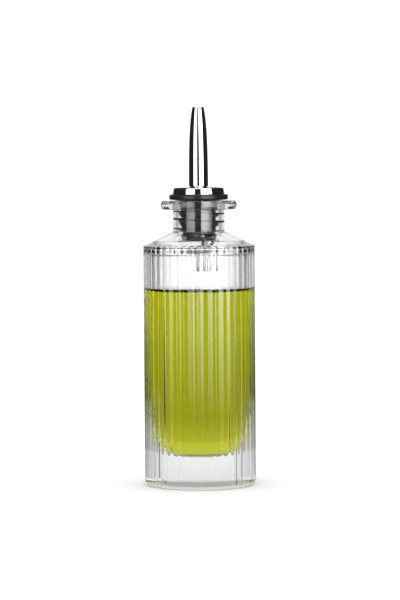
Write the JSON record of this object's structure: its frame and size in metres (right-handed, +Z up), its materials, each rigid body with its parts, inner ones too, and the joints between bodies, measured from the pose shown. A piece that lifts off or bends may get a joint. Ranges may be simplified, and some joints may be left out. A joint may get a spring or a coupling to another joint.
{
  "type": "oil and vinegar bottle",
  "caption": "Ribbed clear glass bottle with a thick foot, filled with olive oil, closed by a black rubber stopper with a tapered steel pouring spout.",
  "frame": {"origin": "centre of the bottle's foot, on the surface that it stands on", "axes": "+Z up along the bottle's axis, from the foot to the tip of the spout; -Y is the front that the picture shows"},
  "size_m": [0.0506, 0.0506, 0.1715],
  "materials": {
    "clear_glass": "clear, glossy pressed glass with upright ribs",
    "olive_oil": "clear yellow-green olive oil with a mirror-smooth level",
    "black_rubber": "smooth black rubber with a soft gloss",
    "polished_steel": "mirror-polished stainless steel",
    "vent_steel": "drawn stainless steel tube, plain and lightly brushed"
  },
  "bodies": {
    "root": {"bottle_glass": "clear_glass", "oil": "olive_oil", "stopper": "black_rubber", "pourer": "polished_steel", "vent_tube": "vent_steel"}
  },
  "joints": []
}
